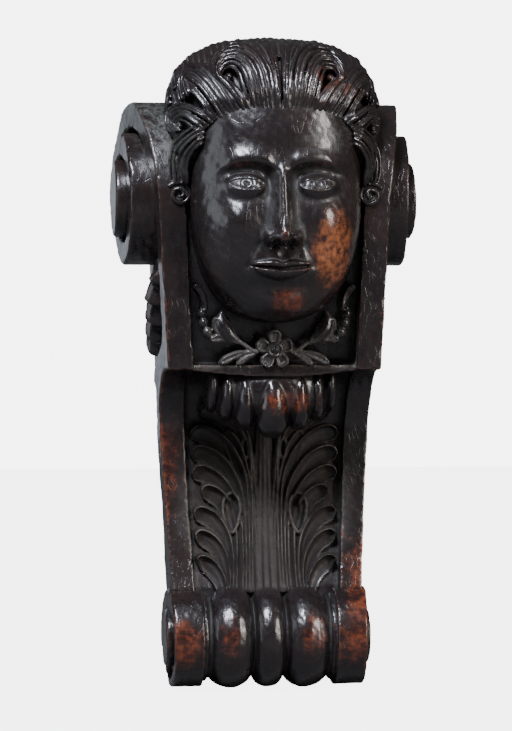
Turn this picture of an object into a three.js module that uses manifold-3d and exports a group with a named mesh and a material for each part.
// A carved wooden corbel: a wall bracket with a mask on its front, a stepped volute on each side
// of its head, a hollowed shaft with an acanthus leaf, and a turned roll at its foot.
// Millimetres, +Z up. The wall is the plane Y = 0, the front looks along -Y, and X is across.
// The whole corbel is cut from one block, so the model is one solid.
import * as THREE from "three";
import { mergeVertices } from "three/addons/utils/BufferGeometryUtils.js";
import Module from "manifold-3d";

// Block. A height is measured from the foot of the roll, a setback back from the front bands' face.
const projection = 165; // from the wall to the face of the front bands
const mountHeight = 262; // of the origin, on the back face
const halfWidth = 100; // of the block at the face of the front bands, beside the volute's axis
const taper = 0.058; // growth of the half width for each millimetre up
const splay = 0.05; // growth of the half width for each millimetre back
const footHeight = 12; // of the flat underside, behind the roll

// Head of the corbel: the scroll that the front bands roll over.
const voluteHeight = 425;
const voluteRadius = 84.5;
const panelBottom = 276;
const apronDrop = 5.6; // how far the front panel's lower edge hangs in the middle
const ledge = 20; // flat underside of the head, in front of the cove

// Bands along both edges of the front, and the sunk field between them.
const bandWidth = 23;
const bandDepth = 24;
const fieldSunk = 7;
const sideSunk = 11;

// Volutes: a ribbon that springs out of the front band and climbs sideways as it winds in to a boss.
const volute = { middle: 57.5, boss: 33.5, groove: 4.5, spring: 19, climb: 6, stand: 3, turns: 1.5, root: 80 };

// Shaft.
const shaftSetback = 72;
const shaftFootSetback = 51;
const coveHeight = 58; // from the head's underside down to where the shaft is straight
const shaftSunk = 9;

// Roll at the foot, turned between two end bands, with a small scroll on each side.
const rollRadius = 42.5;
const rollSetback = 62;
const rollBandInner = 58;
const rollScroll = { boss: 24.8, groove: 3, spring: 4, climb: 2, stand: 2.5, turns: 1, root: 62 };

// Mask. Its face is one hairline-to-chin height, and its features are shares of that.
const faceHeight = 182;
const eyeHeight = 431;
const faceHalfWidth = 73;
const faceProjection = 47;

// Hair, laid over a rounded skull.
const skull = { halfWidth: 92, halfDepth: 73, halfHeight: 77, height: 478, setback: 22 };
const lockRise = 8;
const lockValley = 2.5;
const templeKnobRadius = 10.5;

// Leafwork.
const leafRelief = 9;
const curlSetback = 36;
const curlDepth = 23;
const flowerRadius = 17;
const flowerHeight = 293;
const garlandRelief = 5;
const sideLeafRelief = 17;

const SIDES = [-1, 1];
const smooth = (t) => t * t * (3 - 2 * t);
const clamp01 = (t) => Math.min(1, Math.max(0, t));
const mix = (a, b, t) => a + (b - a) * t;
const degrees = THREE.MathUtils.degToRad;

const wasm = await Module();
wasm.setup();

/** A closed geometry as a solid that can be joined and cut. */
function solidOf(geometry) {
  const loose = geometry.index ? geometry.toNonIndexed() : geometry;
  const bare = new THREE.BufferGeometry().setAttribute("position", loose.getAttribute("position"));
  const merged = mergeVertices(bare, 1e-3);
  const vertProperties = merged.attributes.position.array;
  return new wasm.Manifold(
    new wasm.Mesh({ numProp: 3, vertProperties, triVerts: new Uint32Array(merged.index.array) }),
  );
}

/** A solid back as a geometry. */
function geometryOf(solid) {
  const mesh = solid.getMesh();
  const points = Array.from({ length: mesh.numVert }, (_, i) =>
    new THREE.Vector3().fromArray(mesh.vertProperties, i * mesh.numProp),
  );
  const index = withoutSlivers(points, Array.from(mesh.triVerts));
  const geometry = new THREE.BufferGeometry().setFromPoints(points);
  geometry.setIndex(index);
  geometry.computeVertexNormals();
  return geometry;
}

/** Faces without the slivers that joining leaves: short edges are drawn together and flat caps swapped. */
function withoutSlivers(points, index) {
  const [shortest, flattest, passes] = [0.04, 0.006, 12];
  const key = (a, b) => a * points.length + b;
  let faces = Array.from({ length: index.length / 3 }, (_, i) => index.slice(i * 3, i * 3 + 3));
  for (let pass = 0; pass < passes; pass++) {
    const owner = new Map();
    const around = points.map(() => []);
    faces.forEach((face, f) => {
      face.forEach((a, k) => {
        owner.set(key(a, face[(k + 1) % 3]), f);
        around[a].push(f);
      });
    });
    const touched = new Set();
    const joined = new Map();
    const rim = (v) => new Set(around[v].flatMap((f) => faces[f]));
    faces.forEach((face, f) => {
      if (touched.has(f)) return;
      const edges = face.map((a, k) => ({ a, b: face[(k + 1) % 3], c: face[(k + 2) % 3] }));
      const length = (edge) => points[edge.a].distanceTo(points[edge.b]);
      edges.sort((p, q) => length(p) - length(q));
      const { a, b } = edges[0];
      const long = edges[2];
      if (length(edges[0]) < shortest) {
        const both = [...around[a], ...around[b]];
        const shared = [...rim(a)].filter((v) => v !== a && v !== b && rim(b).has(v));
        if (shared.length !== 2 || both.some((g) => touched.has(g))) return;
        const [kept, dropped] = Math.abs(points[a].y) < 1e-6 ? [a, b] : [b, a];
        joined.set(dropped, kept);
        both.forEach((g) => touched.add(g));
        return;
      }
      const along = new THREE.Vector3().subVectors(points[long.b], points[long.a]);
      const toTip = new THREE.Vector3().subVectors(points[long.c], points[long.a]);
      if (along.cross(toTip).length() / length(long) > flattest) return;
      const g = owner.get(key(long.b, long.a));
      const far = faces[g].find((v) => v !== long.a && v !== long.b);
      if (touched.has(g) || owner.has(key(long.c, far)) || owner.has(key(far, long.c))) return;
      faces[f] = [long.a, far, long.c];
      faces[g] = [far, long.b, long.c];
      owner.set(key(far, long.c), f);
      around.forEach((list, v) => (v === far || v === long.c) && list.push(f, g));
      touched.add(f).add(g);
    });
    if (!touched.size) break;
    faces = faces.map((face) => face.map((v) => joined.get(v) ?? v));
    faces = faces.filter(([a, b, c]) => a !== b && b !== c && c !== a);
  }
  return faces.flat();
}

/** Turns a closed indexed geometry's faces outwards, whichever way it was wound. */
function facedOut(geometry) {
  const p = geometry.attributes.position;
  const index = geometry.index.array;
  const [a, b, c] = [new THREE.Vector3(), new THREE.Vector3(), new THREE.Vector3()];
  let volume = 0;
  for (let i = 0; i < index.length; i += 3) {
    a.fromBufferAttribute(p, index[i]);
    b.fromBufferAttribute(p, index[i + 1]);
    c.fromBufferAttribute(p, index[i + 2]);
    volume += a.dot(b.cross(c));
  }
  if (volume < 0) {
    for (let i = 0; i < index.length; i += 3) {
      [index[i + 1], index[i + 2]] = [index[i + 2], index[i + 1]];
    }
  }
  return geometry;
}

/** The closed skin over a row of rings of points, each end closed to its middle. */
function loft(rings) {
  const count = rings[0].length;
  const points = rings.flat();
  const faces = [];
  for (let r = 0; r + 1 < rings.length; r++) {
    for (let i = 0; i < count; i++) {
      const j = (i + 1) % count;
      const [a, b, c, d] = [r * count + i, r * count + j, (r + 1) * count + i, (r + 1) * count + j];
      const rising = points[a].distanceTo(points[d]) < points[b].distanceTo(points[c]);
      faces.push(...(rising ? [a, b, d, a, d, c] : [a, b, c, b, d, c]));
    }
  }
  for (const [ring, first] of [[0, 0], [rings.length - 1, points.length - count]]) {
    const middle = new THREE.Vector3();
    rings[ring].forEach((p) => middle.addScaledVector(p, 1 / count));
    points.push(middle);
    for (let i = 0; i < count; i++) {
      const pair = [first + i, first + ((i + 1) % count)];
      faces.push(...(ring ? pair : pair.reverse()), points.length - 1);
    }
  }
  const geometry = new THREE.BufferGeometry().setFromPoints(points);
  geometry.setIndex(faces);
  return facedOut(geometry);
}

/** Half the block's width at a place, as a share of halfWidth. */
function widthShare(setback, height) {
  const wide = halfWidth + taper * (height - voluteHeight) + splay * setback;
  return wide / halfWidth;
}

/** Spreads a geometry sideways, as the block widens upwards and backwards. */
function widened(geometry) {
  const p = geometry.attributes.position;
  for (let i = 0; i < p.count; i++) {
    p.setX(i, p.getX(i) * widthShare(p.getY(i) + projection, p.getZ(i)));
  }
  return geometry;
}

/** A slab between two X, from an outline drawn in (setback, height). */
function slab(outline, x0, x1, curveSegments = 10) {
  const geometry = new THREE.ExtrudeGeometry(outline, {
    depth: x1 - x0,
    bevelEnabled: false,
    curveSegments,
  });
  const acrossToX = new THREE.Matrix4().set(0, 0, 1, x0, 1, 0, 0, -projection, 0, 1, 0, 0, 0, 0, 0, 1);
  geometry.applyMatrix4(acrossToX);
  return geometry;
}

/** A point from across, setback and height. */
const at = (x, setback, height) => new THREE.Vector3(x, setback - projection, height);

/** How far the shaft's bands stand back at a height: a cove under the head, then a slow sweep forward. */
function shaftFace(height) {
  const coveFoot = panelBottom - coveHeight;
  const up = clamp01((height - coveFoot) / coveHeight);
  const down = clamp01((coveFoot - height) / (coveFoot - 2 * rollRadius));
  const straight = mix(shaftSetback, shaftFootSetback, down * down);
  return up > 0 ? ledge + (shaftSetback - ledge) * Math.sqrt(1 - up ** 2.2) : straight;
}

/** The shaft's front line from its foot up to the head, set back by a further depth. */
function shaftLine(sunk, steps) {
  const foot = rollRadius * 1.5;
  return Array.from({ length: steps + 1 }, (_, i) => {
    const height = mix(foot, panelBottom, i / steps);
    return new THREE.Vector2(shaftFace(height) + sunk, height);
  });
}

/** The block between the bands: its front is the sunk field of head and shaft. */
function core() {
  const outline = new THREE.Shape();
  const shaft = shaftLine(shaftSunk, 18);
  outline.moveTo(projection, footHeight);
  outline.lineTo(projection, voluteHeight + voluteRadius);
  outline.lineTo(voluteRadius, voluteHeight + voluteRadius);
  outline.lineTo(voluteRadius, voluteHeight + voluteRadius - fieldSunk);
  outline.absarc(voluteRadius, voluteHeight, voluteRadius - fieldSunk, Math.PI / 2, Math.PI, false);
  outline.lineTo(fieldSunk, panelBottom);
  shaft.reverse().forEach((p) => outline.lineTo(p.x, p.y));
  outline.lineTo(shaft[shaft.length - 1].x, footHeight);
  return solidOf(widened(slab(outline, -halfWidth + sideSunk, halfWidth - sideSunk)));
}

/** The strip that lets the head's panel hang in a shallow arc below the bands' ends. */
function apron() {
  const reach = halfWidth - bandWidth;
  const columns = 12;
  const rings = Array.from({ length: columns + 1 }, (_, i) => {
    const x = mix(-reach, reach, i / columns);
    const drop = apronDrop * (1 - (x / reach) ** 2) + 0.4;
    const [front, back] = [fieldSunk, ledge + 14];
    const [low, high] = [panelBottom - drop, panelBottom + 6];
    return [at(x, front, low), at(x, back, low), at(x, back, high), at(x, front, high)];
  });
  return solidOf(widened(loft(rings)));
}

/** One side's band round the head: up the front, over the scroll, with the knee where it turns back. */
function headBand(side) {
  const outline = new THREE.Shape();
  const inner = voluteRadius - bandDepth;
  const knee = shaftSetback + bandDepth;
  const kneeHeight = panelBottom + 20;
  outline.moveTo(0, panelBottom);
  outline.lineTo(0, voluteHeight);
  outline.absarc(voluteRadius, voluteHeight, voluteRadius, Math.PI, Math.PI / 2, true);
  outline.lineTo(projection, voluteHeight + voluteRadius);
  outline.lineTo(projection, voluteHeight + inner);
  outline.lineTo(voluteRadius, voluteHeight + inner);
  outline.absarc(voluteRadius, voluteHeight, inner, Math.PI / 2, Math.PI, false);
  outline.lineTo(bandDepth, kneeHeight + bandDepth);
  outline.quadraticCurveTo(bandDepth + 4, kneeHeight, mix(bandDepth, knee, 0.55), kneeHeight - 8);
  outline.quadraticCurveTo(knee - 4, kneeHeight - 14, knee, panelBottom - 12);
  outline.lineTo(shaftFace(panelBottom - 12), panelBottom - 12);
  outline.lineTo(shaftFace(panelBottom - 3), panelBottom - 3);
  outline.lineTo(ledge, panelBottom);
  return bandSlab(outline, side);
}

/** One side's band down the shaft to the roll. */
function shaftBand(side) {
  const outline = new THREE.Shape();
  const front = shaftLine(0, 18);
  const back = shaftLine(bandDepth, 8).filter((p) => p.y < panelBottom - 20);
  const foot = front[0].y;
  outline.moveTo(front[0].x, foot);
  front.slice(1, -1).forEach((p) => outline.lineTo(p.x, p.y));
  outline.lineTo(shaftSetback + bandDepth, panelBottom - 8);
  back.reverse().forEach((p) => outline.lineTo(p.x, p.y));
  return bandSlab(outline, side);
}

function bandSlab(outline, side) {
  const [a, b] = [side * (halfWidth - bandWidth), side * halfWidth];
  return solidOf(widened(slab(outline, Math.min(a, b), Math.max(a, b), 12)));
}

/** A value that steps from one level to the next while a scroll passes its hidden half turn. */
function stepped(turn, levels) {
  const [outer, middle, boss] = levels;
  if (turn < 0.25) return outer;
  if (turn < 0.75) return mix(outer, middle, smooth((turn - 0.25) * 2));
  if (turn < 1.25) return middle;
  if (turn < 1.75) return mix(middle, boss, smooth((turn - 1.25) * 2));
  return boss;
}

/** How far a scroll's face stands out from its band after so many turns. */
function standOut(turn, { spring, climb, turns }) {
  const sprung = 1 - (1 - Math.min(1, turn * 2)) ** 2;
  return spring * sprung + climb * (Math.max(0, turn - 0.5) / (turns - 0.5)) ** 2;
}

/** A scroll's ribbon: a square-edged strip that winds inwards and climbs sideways to its boss. */
function ribbon({ axis, height, side, radii, groove, turns, root, face, start, steps, ...climbing }) {
  const boss = radii[2];
  const end = 0.3 + turns;
  const rings = Array.from({ length: steps + 1 }, (_, i) => {
    const turn = mix(0, end, i / steps);
    const outer = stepped(turn, radii);
    const next = stepped(turn + 1, radii);
    const merge = smooth(clamp01((turn - turns + 0.2) / 0.2));
    const inner = Math.min(mix(next + groove, boss - 4, merge), outer - 1);
    const top = face + standOut(Math.min(turn, turns), { turns, ...climbing });
    const angle = start + turn * 2 * Math.PI;
    const place = (x, r) => {
      const setback = axis - r * Math.cos(angle);
      return at(side * x * (1 + (splay * (setback - axis)) / halfWidth), setback, height + r * Math.sin(angle));
    };
    return [place(root, inner), place(root, outer), place(top, outer), place(top, inner)];
  });
  return solidOf(loft(rings));
}

/** A flat round boss, standing out sideways. */
function boss({ axis, height, side, radius, from, to }) {
  const profile = [
    new THREE.Vector2(0, from),
    new THREE.Vector2(radius, from),
    new THREE.Vector2(radius, to),
    new THREE.Vector2(0, to),
  ];
  const disc = new THREE.LatheGeometry(profile, 18);
  disc.rotateZ((-side * Math.PI) / 2);
  disc.translate(0, axis - projection, height);
  return solidOf(disc);
}

/** Both scrolls of one side: the great volute at the head and the small one at the foot. */
function scrolls(side) {
  const head = { axis: voluteRadius, height: voluteHeight, side };
  const foot = { axis: rollSetback, height: rollRadius, side };
  const headFace = halfWidth * widthShare(voluteRadius, voluteHeight);
  const footFace = halfWidth * widthShare(rollSetback, rollRadius);
  const outOf = (face, { spring, climb, stand }) => face + spring + climb + stand;
  return [
    ribbon({
      ...head,
      ...volute,
      radii: [voluteRadius, volute.middle, volute.boss],
      face: headFace,
      start: 0,
      steps: 30,
    }),
    boss({ ...head, radius: volute.boss, from: volute.root, to: outOf(headFace, volute) }),
    ribbon({
      ...foot,
      ...rollScroll,
      radii: [rollRadius, rollRadius, rollScroll.boss],
      face: footFace,
      start: Math.PI / 2,
      steps: 18,
    }),
    boss({ ...foot, radius: rollScroll.boss, from: rollScroll.root, to: outOf(footFace, rollScroll) }),
  ];
}

/** The turned roll: end bands, necks, two swelling balusters and a bead in the middle. */
function roll() {
  const end = halfWidth * widthShare(rollSetback, rollRadius);
  const half = [
    [0, 1.035],
    [7, 1.0],
    [12, 0.9],
    [14, 0.8],
    [17, 0.87],
    [23, 0.99],
    [31, 1.04],
    [41, 1.0],
    [49, 0.88],
    [52, 0.84],
    [rollBandInner, 0.86],
    [rollBandInner, 1],
    [end, 1],
  ];
  const across = [...half.slice(1).reverse().map(([x, r]) => [-x, r]), ...half];
  const profile = across.map(([x, r]) => new THREE.Vector2(r * rollRadius, x));
  profile.unshift(new THREE.Vector2(0, -end));
  profile.push(new THREE.Vector2(0, end));
  const turned = new THREE.LatheGeometry(profile, 18);
  turned.rotateZ(-Math.PI / 2);
  turned.translate(0, rollSetback - projection, rollRadius);
  return solidOf(turned);
}

/** A rounded hump of the mask's surface, in face units. */
function hump(x, z, cx, cz, sx, sz) {
  return Math.exp(-(((x - cx) / sx) ** 2) - ((z - cz) / sz) ** 2);
}

/** How far the mask stands out at a place, in face units: millimetres on a face 182 high. */
function maskRelief(x, z) {
  const side = Math.abs(x);
  const halfFace = (faceHalfWidth * 182) / faceHeight;
  const down = z < -8 ? (-z - 8) / 107 : (z + 8) / 135;
  const across = side / halfFace;
  const round = Math.min(1, (across ** 2.3 + down ** 2.3) ** (1 / 2.3));
  let out = faceProjection * (1 - round ** 3) ** 0.5;
  out += 5 * hump(side, z, 22, 19, 20, 8) - 9 * hump(side, z, 31, -1, 17, 11);
  out += 6 * hump(side, z, 31, -1, 13, 8);
  const along = clamp01((10 - z) / 54);
  const noseHalf = mix(6, 10.5, along);
  if (z < 16) out += mix(6, 21, along) * Math.exp(-((side / noseHalf) ** 2)) * clamp01((z + 53) / 6);
  out += 9 * hump(side, z, 12.5, -45, 5.5, 6) + 5 * hump(side, z, 38, -34, 19, 18);
  out += 6 * hump(side, z, 0, -66, 19, 4) + 7 * hump(side, z, 0, -76, 15, 4.5);
  out -= 5 * hump(side, z, 0, -70.5, 21, 1.8) + 5 * hump(side, z, 0, -87, 18, 5);
  out += 9 * hump(side, z, 0, -101, 15, 10);
  return out;
}

/** The mask: the relief over an oval, closed behind on a flat inside the block. */
function mask() {
  const unit = faceHeight / 182;
  const rows = [
    -114.6, -111, -107, -101, -94, -87, -81, -76, -70.5, -66, -60, -53, -48, -43, -36, -20, -8, 2, 11, 20,
    35, 54, 70,
  ];
  const half = [0, 0.06, 0.13, 0.2, 0.29, 0.4, 0.54, 0.72, 0.88, 1];
  const columns = [...half.slice(1).reverse().map((c) => -c), ...half];
  const back = fieldSunk + 14;
  const rings = rows.map((z) => {
    const lower = Math.max(0, (-z - 8) / 107);
    const upper = Math.max(0, (z + 8) / 135);
    const reach = (1 - lower ** 2.3) ** (1 / 2.3) - upper ** 2.3 * 0.6;
    const front = columns.map((share) => {
      const across = share * reach * faceHalfWidth * 0.995;
      const out = maskRelief(across / unit, z) * unit;
      return at(across, -Math.max(out, -fieldSunk + 1), eyeHeight + z * unit);
    });
    const ends = [front[front.length - 1], front[0]].map((p) => at(p.x, back, p.z));
    return [...front, ...ends];
  });
  return solidOf(loft(rings));
}

/** A place over the skull: from shares of its half width and half height, and a lift off it. */
function onSkull(across, up, lift = 0) {
  const beyond = Math.max(1, Math.hypot(across, up) / 0.985);
  // Above its middle the hair keeps to the skull; below, it lies down on the front bands.
  const [a, c] = up > 0 ? [across / beyond, up / beyond] : [across, up];
  const b = Math.sqrt(Math.max(0, 1 - a * a - c * c));
  const grow = 1 + (lift / skull.halfDepth) * smooth(clamp01(up * 4 + 0.5));
  const setback = skull.setback - b * skull.halfDepth;
  return at(
    a * skull.halfWidth * grow,
    Math.min(setback, up > 0 ? setback : 5) - lift * b - (up > 0 ? 0 : lift * (1 - b)),
    skull.height + c * skull.halfHeight * grow,
  );
}

/** A place over the crown, from a share of the half width and an angle back from the top. */
function overCrown(across, angle, lift = 0) {
  const ring = Math.sqrt(1 - across * across);
  const grow = 1 + lift / skull.halfDepth;
  return at(
    across * skull.halfWidth * grow,
    skull.setback + Math.sin(angle) * ring * skull.halfDepth * grow,
    skull.height + Math.cos(angle) * ring * skull.halfHeight * grow,
  );
}

/** The skull under the hair. */
function skullCap() {
  const egg = new THREE.SphereGeometry(1, 14, 9);
  egg.rotateX(Math.PI / 2);
  egg.scale(skull.halfWidth, skull.halfDepth, skull.halfHeight);
  egg.translate(0, skull.setback - projection, skull.height);
  return solidOf(egg);
}

// Each lock of hair lies between an outer and an inner guide, drawn for one side of the head as
// shares of the skull's half width and half height. The last is combed back over the crown, so it
// goes by angles from the top instead of heights.
const LOCKS = [
  {
    strands: 4,
    outer: [[0.02, 0.3], [0.04, 0.7], [0.24, 0.96], [0.52, 0.86], [0.66, 0.64]],
    inner: [[0.29, 0.3], [0.33, 0.46], [0.41, 0.58], [0.5, 0.62], [0.52, 0.5]],
  },
  {
    strands: 3,
    outer: [[0.4, 0.26], [0.6, 0.46], [0.78, 0.62], [0.92, 0.5], [0.98, 0.3]],
    inner: [[0.6, 0.2], [0.71, 0.33], [0.82, 0.4], [0.87, 0.32], [0.83, 0.22]],
  },
  {
    strands: 2,
    outer: [[0.64, 0.14], [0.8, 0.22], [0.93, 0.2], [0.97, 0.02]],
    inner: [[0.74, 0.02], [0.85, 0.08], [0.92, 0.02], [0.9, -0.1]],
  },
  {
    strands: 2,
    outer: [[0.76, -0.02], [0.98, -0.1], [1.01, -0.34], [0.97, -0.6], [0.86, -0.74]],
    inner: [[0.7, -0.1], [0.79, -0.2], [0.79, -0.38], [0.78, -0.52], [0.78, -0.6]],
  },
  {
    strands: 4,
    over: overCrown,
    outer: [[0.02, -0.5], [0.03, 0.3], [0.04, 1.2]],
    inner: [[0.72, -0.1], [0.88, 0.5], [0.94, 1.3]],
  },
];

/** A lock of hair on the skull: ridged strands between two guides, lower at both ends. */
function lock({ strands, outer, inner, over = onSkull }, side) {
  const guides = [outer, inner].map((g) => new THREE.SplineCurve(g.map((p) => new THREE.Vector2(...p))));
  const steps = outer.length;
  const rings = Array.from({ length: steps + 1 }, (_, i) => {
    const t = i / steps;
    const [from, to] = guides.map((guide) => guide.getPoint(t));
    const swell = mix(0.35, 1, Math.sin(Math.PI * mix(0.12, 0.92, t)) ** 0.6);
    const spot = (s, lift) => over(side * mix(from.x, to.x, s), mix(from.y, to.y, s), lift);
    const ridges = Array.from({ length: 2 * strands + 1 }, (_, k) =>
      spot(k / (2 * strands), (k % 2 ? lockRise : lockValley) * swell),
    );
    return [...ridges, spot(1, -8), spot(0, -8)];
  });
  return solidOf(loft(rings));
}

/** The hair: locks that sweep up from the brow and curl over, and a knob at the end of each sideburn. */
function hair() {
  return SIDES.flatMap((side) => [...LOCKS.map((drawn) => lock(drawn, side)), templeKnob(side)]);
}

/** The round knob of hair that ends each sideburn. */
function templeKnob(side) {
  const knob = new THREE.SphereGeometry(templeKnobRadius, 8, 5);
  const place = onSkull(side * 0.89, -0.68);
  knob.scale(1, 0.7, 1);
  knob.translate(place.x, -projection, place.z);
  return solidOf(knob);
}

/** A leaflet lying on a surface: a low ridge along a curve, narrow at its root and round at its tip. */
function leaflet({ path, onto, width, relief, steps = 4, root = 0.25 }) {
  const curve = new THREE.QuadraticBezierCurve(...path.map(([x, z]) => new THREE.Vector2(x, z)));
  const rings = Array.from({ length: steps + 1 }, (_, i) => {
    const t = i / steps;
    const p = curve.getPoint(t);
    const ahead = curve.getTangent(t);
    const wide = (width / 2) * mix(root, 1, Math.sin((Math.min(t, 0.75) / 0.75) * (Math.PI / 2)));
    const tip = t > 0.82 ? Math.sqrt(Math.max(0.06, 1 - ((t - 0.82) / 0.18) ** 2)) : 1;
    const half = wide * tip;
    const lift = relief * (0.55 + 0.45 * t) * Math.sqrt(tip);
    const spot = (s, out) => onto(p.x - ahead.y * half * s, p.y + ahead.x * half * s, out);
    return [spot(1, -4), spot(1, lift * 0.55), spot(0.1, lift), spot(-1, lift * 0.7), spot(-1, -4)];
  });
  return solidOf(widened(loft(rings)));
}

/** The tall acanthus leaf on the shaft: leaflets fanning from a ribbed stem, and its curled tip above. */
function shaftLeaf() {
  const onto = (x, height, out) => at(x, shaftFace(height) + shaftSunk - out, height);
  const foot = 2 * rollRadius - 4;
  const reach = (halfWidth - bandWidth) * 0.94;
  const made = [];
  const groups = [
    { count: 4, top: panelBottom - 36, drop: 20, stem: 16, spread: 3.5, rise: 26, width: 19 },
    { count: 4, top: panelBottom - 116, drop: 19.5, stem: 32, spread: 4.5, rise: 14, width: 18 },
  ];
  for (const side of SIDES) {
    for (const group of groups) {
      for (let i = 0; i < group.count; i++) {
        const tip = group.top - group.drop * i;
        const root = group.stem + group.spread * i;
        const end = reach - (i === 0 ? 7 : 0);
        const path = [
          [side * root, foot],
          [side * (root + 2), tip - group.rise],
          [side * end, tip],
        ];
        made.push(leaflet({ path, onto, width: group.width, relief: leafRelief * (1 - 0.06 * i) }));
      }
    }
    const bud = [[side * 12, foot], [side * 13, panelBottom - 110], [side * 27, panelBottom - 44]];
    made.push(leaflet({ path: bud, onto, width: 15, relief: leafRelief }));
    const rib = [[side * 9, foot], [side * 6, panelBottom - 110], [side * 5, panelBottom - 46]];
    made.push(leaflet({ path: rib, onto, width: 9, relief: leafRelief * 0.9, root: 1 }));
  }
  return [...made, ...curledTip()];
}

/** The leaf's tip, which curls out under the head in plump rounded lobes. */
function curledTip() {
  const lobes = [
    { x: 0, half: 15.5, low: 218 },
    { x: 20.5, half: 11.5, low: 226 },
    { x: 34.5, half: 9.5, low: 233 },
    { x: 45.5, half: 6.5, low: 240 },
  ];
  const made = [];
  for (const lobe of lobes) {
    for (const side of lobe.x ? SIDES : [1]) {
      const tall = (panelBottom + 4 - lobe.low) / 2;
      const plump = new THREE.SphereGeometry(1, 8, 5);
      plump.scale(lobe.half, curlDepth, tall);
      plump.rotateX(-0.3);
      plump.translate(side * lobe.x, curlSetback + lobe.x * 0.16 - projection, lobe.low + tall);
      made.push(solidOf(plump));
    }
  }
  return made;
}

/** A squashed ball on the head's panel. */
function pebble(x, height, across, up, relief, turn = 0) {
  const ball = new THREE.SphereGeometry(1, 6, 4);
  ball.scale(across, relief, up);
  ball.rotateY(turn);
  ball.translate(x, fieldSunk - projection, height);
  return solidOf(ball);
}

/** The garland under the chin: a five-petalled flower with a bud, a leaf and a chain of husks each side. */
function garland() {
  const made = [pebble(0, flowerHeight, flowerRadius * 0.34, flowerRadius * 0.34, garlandRelief * 1.5)];
  for (let i = 0; i < 5; i++) {
    const angle = Math.PI / 2 + (i * 2 * Math.PI) / 5;
    const x = flowerRadius * 0.62 * Math.cos(angle);
    const z = flowerHeight + flowerRadius * 0.62 * Math.sin(angle);
    made.push(pebble(x, z, flowerRadius * 0.44, flowerRadius * 0.44, garlandRelief));
  }
  const onto = (x, height, out) => at(x, fieldSunk - out, height);
  const low = flowerHeight;
  for (const side of SIDES) {
    const bud = [[side * 24, low + 2], [side * 32, low + 10], [side * 48, low + 22]];
    const twig = [[side * 15, low], [side * 20, low + 1], [side * 27, low + 3]];
    const leaf = [[side * 22, low - 2], [side * 34, low + 1], [side * 50, low - 9]];
    made.push(leaflet({ path: bud, onto, width: 11, relief: garlandRelief * 1.1 }));
    made.push(leaflet({ path: twig, onto, width: 4, relief: garlandRelief * 0.7, root: 1 }));
    made.push(leaflet({ path: leaf, onto, width: 8, relief: garlandRelief * 0.8 }));
    for (let i = 0; i < 4; i++) {
      const size = 4 - 0.4 * i;
      made.push(pebble(side * (55 + 3.4 * i), low + 19 + 10 * i, size, size * 1.5, garlandRelief * 0.8));
    }
  }
  return made;
}

/** The leaf on each flank, hanging from the volute with its tips turned outwards. */
function flankLeaf(side) {
  const core = halfWidth - sideSunk;
  const count = 4;
  const made = [];
  for (let i = 0; i < count; i++) {
    const tipBack = mix(58, projection - 14, i / (count - 1));
    const tipLow = panelBottom + mix(12, 46, i / (count - 1));
    const curve = new THREE.QuadraticBezierCurve(
      new THREE.Vector2(bandDepth + 20, voluteHeight - volute.middle - 6),
      new THREE.Vector2(mix(50, 100, i / count), voluteHeight - volute.middle - 12),
      new THREE.Vector2(tipBack, tipLow),
    );
    const rings = Array.from({ length: 6 }, (_, k) => {
      const t = k / 5;
      const p = curve.getPoint(t);
      const ahead = curve.getTangent(t);
      const tip = t > 0.8 ? Math.sqrt(Math.max(0.06, 1 - ((t - 0.8) / 0.2) ** 2)) : 1;
      const half = 10 * mix(0.5, 1, t) * tip;
      const lift = core + sideLeafRelief * mix(0.4, 1, t * t) * Math.sqrt(tip);
      const spot = (s, x) => at(side * x, p.x - ahead.y * half * s, p.y + ahead.x * half * s);
      return [spot(1, core - 8), spot(1, lift - 5), spot(0.1, lift), spot(-1, lift - 4), spot(-1, core - 8)];
    });
    made.push(solidOf(widened(loft(rings))));
  }
  return made;
}

/** The dark stained and varnished oak of the whole corbel. */
const stainedOak = new THREE.MeshStandardMaterial({ color: 0x2a1a14, roughness: 0.38, metalness: 0 });

/** The corbel, joined into one solid as it was carved from one block. */
function corbel() {
  const pieces = [
    core(),
    apron(),
    roll(),
    mask(),
    skullCap(),
    ...hair(),
    ...shaftLeaf(),
    ...garland(),
    ...SIDES.flatMap((side) => [headBand(side), shaftBand(side), ...scrolls(side), ...flankLeaf(side)]),
  ];
  const joined = pieces.reduce((whole, piece) => whole.add(piece));
  // Pockets closed in between two pieces are solid wood, so only the outer body is kept.
  const [block] = joined.decompose().sort((a, b) => b.volume() - a.volume());
  const mesh = new THREE.Mesh(geometryOf(block), stainedOak);
  mesh.name = "corbel";
  mesh.position.z = -mountHeight;
  return mesh;
}

const bracket = new THREE.Group();
bracket.add(corbel());
export default bracket;
